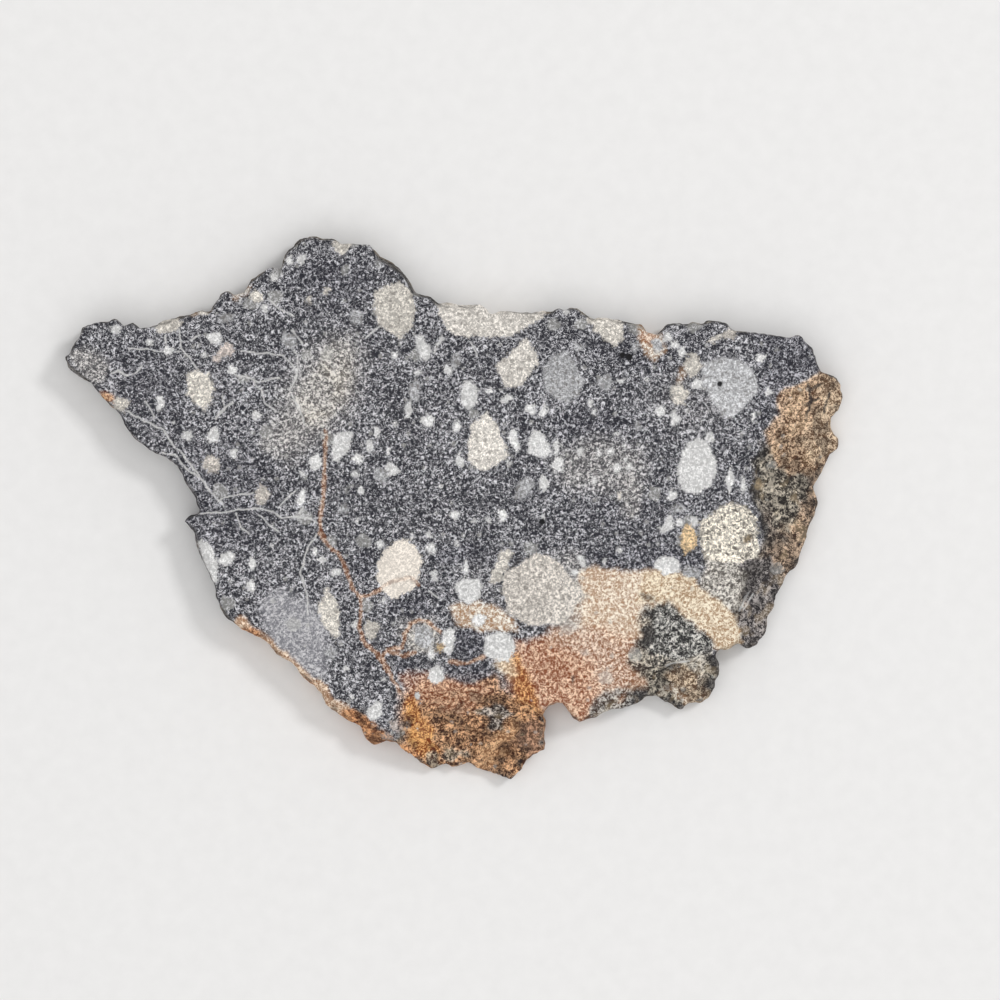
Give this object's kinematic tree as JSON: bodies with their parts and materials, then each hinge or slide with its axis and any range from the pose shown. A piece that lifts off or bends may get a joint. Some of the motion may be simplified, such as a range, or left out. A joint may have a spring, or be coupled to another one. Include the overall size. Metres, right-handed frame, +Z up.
{
  "type": "lunar meteorite slice",
  "caption": "Thin sawn slice of lunar breccia: flat cut faces with pale clasts, fine veins and rust stains, broken side walls, and a lumpy natural skin along the east and south.",
  "frame": {"origin": "centre of the bounding box at the lower sawn face, which rests on the surface", "axes": "+Z up out of the upper sawn face, +X along the slice's length towards the tan natural skin, +Y towards the peak of the outline"},
  "size_m": [0.0521, 0.0363, 0.003],
  "materials": {
    "breccia": "sawn and unpolished, matte"
  },
  "bodies": {
    "root": {"meteorite_slice": "breccia"}
  },
  "joints": []
}
